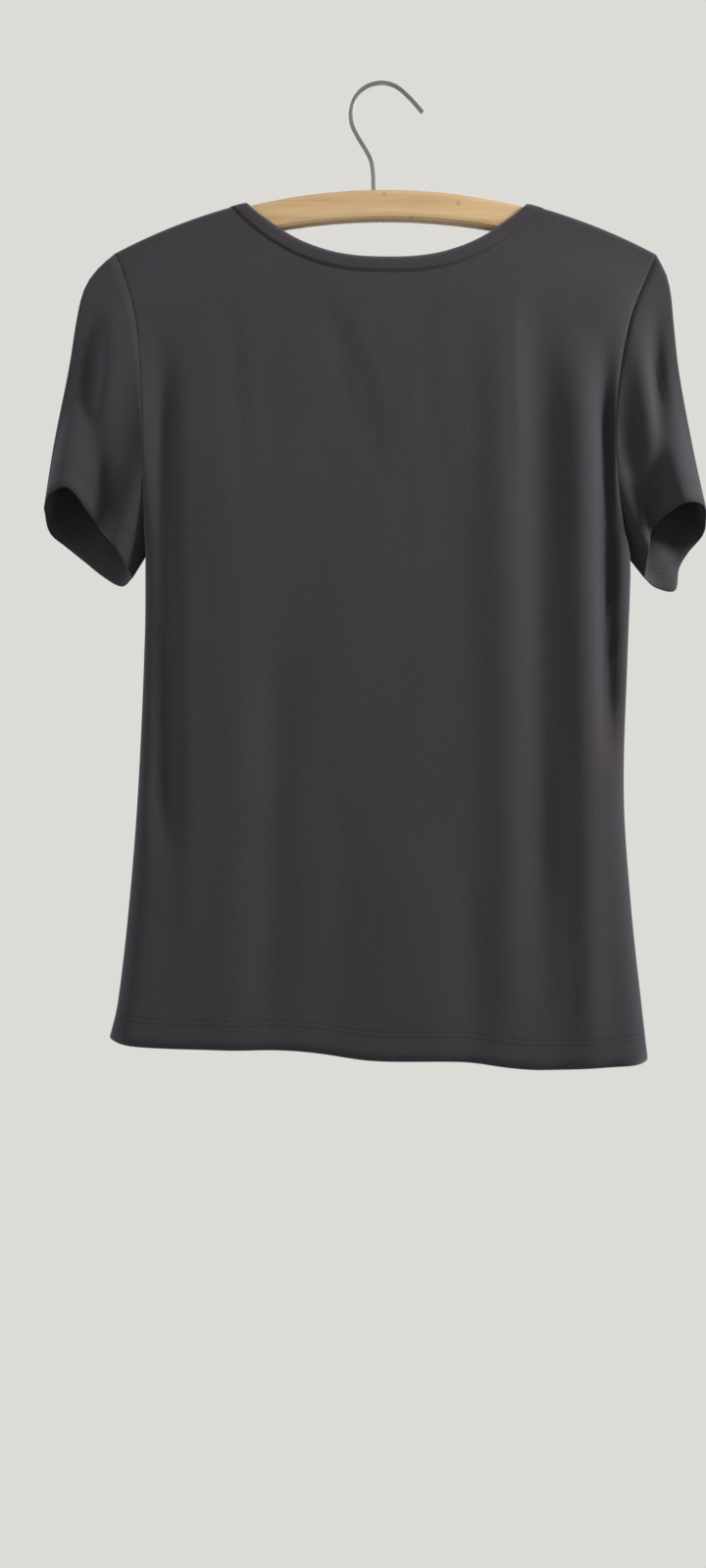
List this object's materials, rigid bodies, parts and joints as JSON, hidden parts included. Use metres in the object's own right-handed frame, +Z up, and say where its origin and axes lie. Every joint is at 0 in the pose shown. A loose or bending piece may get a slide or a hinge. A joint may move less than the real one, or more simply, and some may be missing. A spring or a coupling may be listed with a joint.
{
  "type": "v-neck t-shirt on a wooden hanger",
  "caption": "Short-sleeved v-neck jersey t-shirt hung by its shoulders on an arched wooden hanger with a round wire hook, falling in soft vertical folds.",
  "frame": {"origin": "The inside of the hook's crown, the point the hanger hangs from.", "axes": "+Z up, +X to the right as the back of the shirt is looked at, -Y the side the back panel is on, +Y the side the V neck is on."},
  "size_m": [0.5317, 0.076, 0.7773],
  "materials": {
    "jersey": "thin charcoal jersey, matt with a faint soft sheen",
    "wood": "light wood under clear satin varnish",
    "hook_steel": "bright plated wire"
  },
  "bodies": {
    "root": {"back_panel": "jersey", "front_panel": "jersey", "left_sleeve": "jersey", "right_sleeve": "jersey", "neckband": "jersey", "hanger_bar": "wood", "hanger_hook": "hook_steel"}
  },
  "joints": []
}
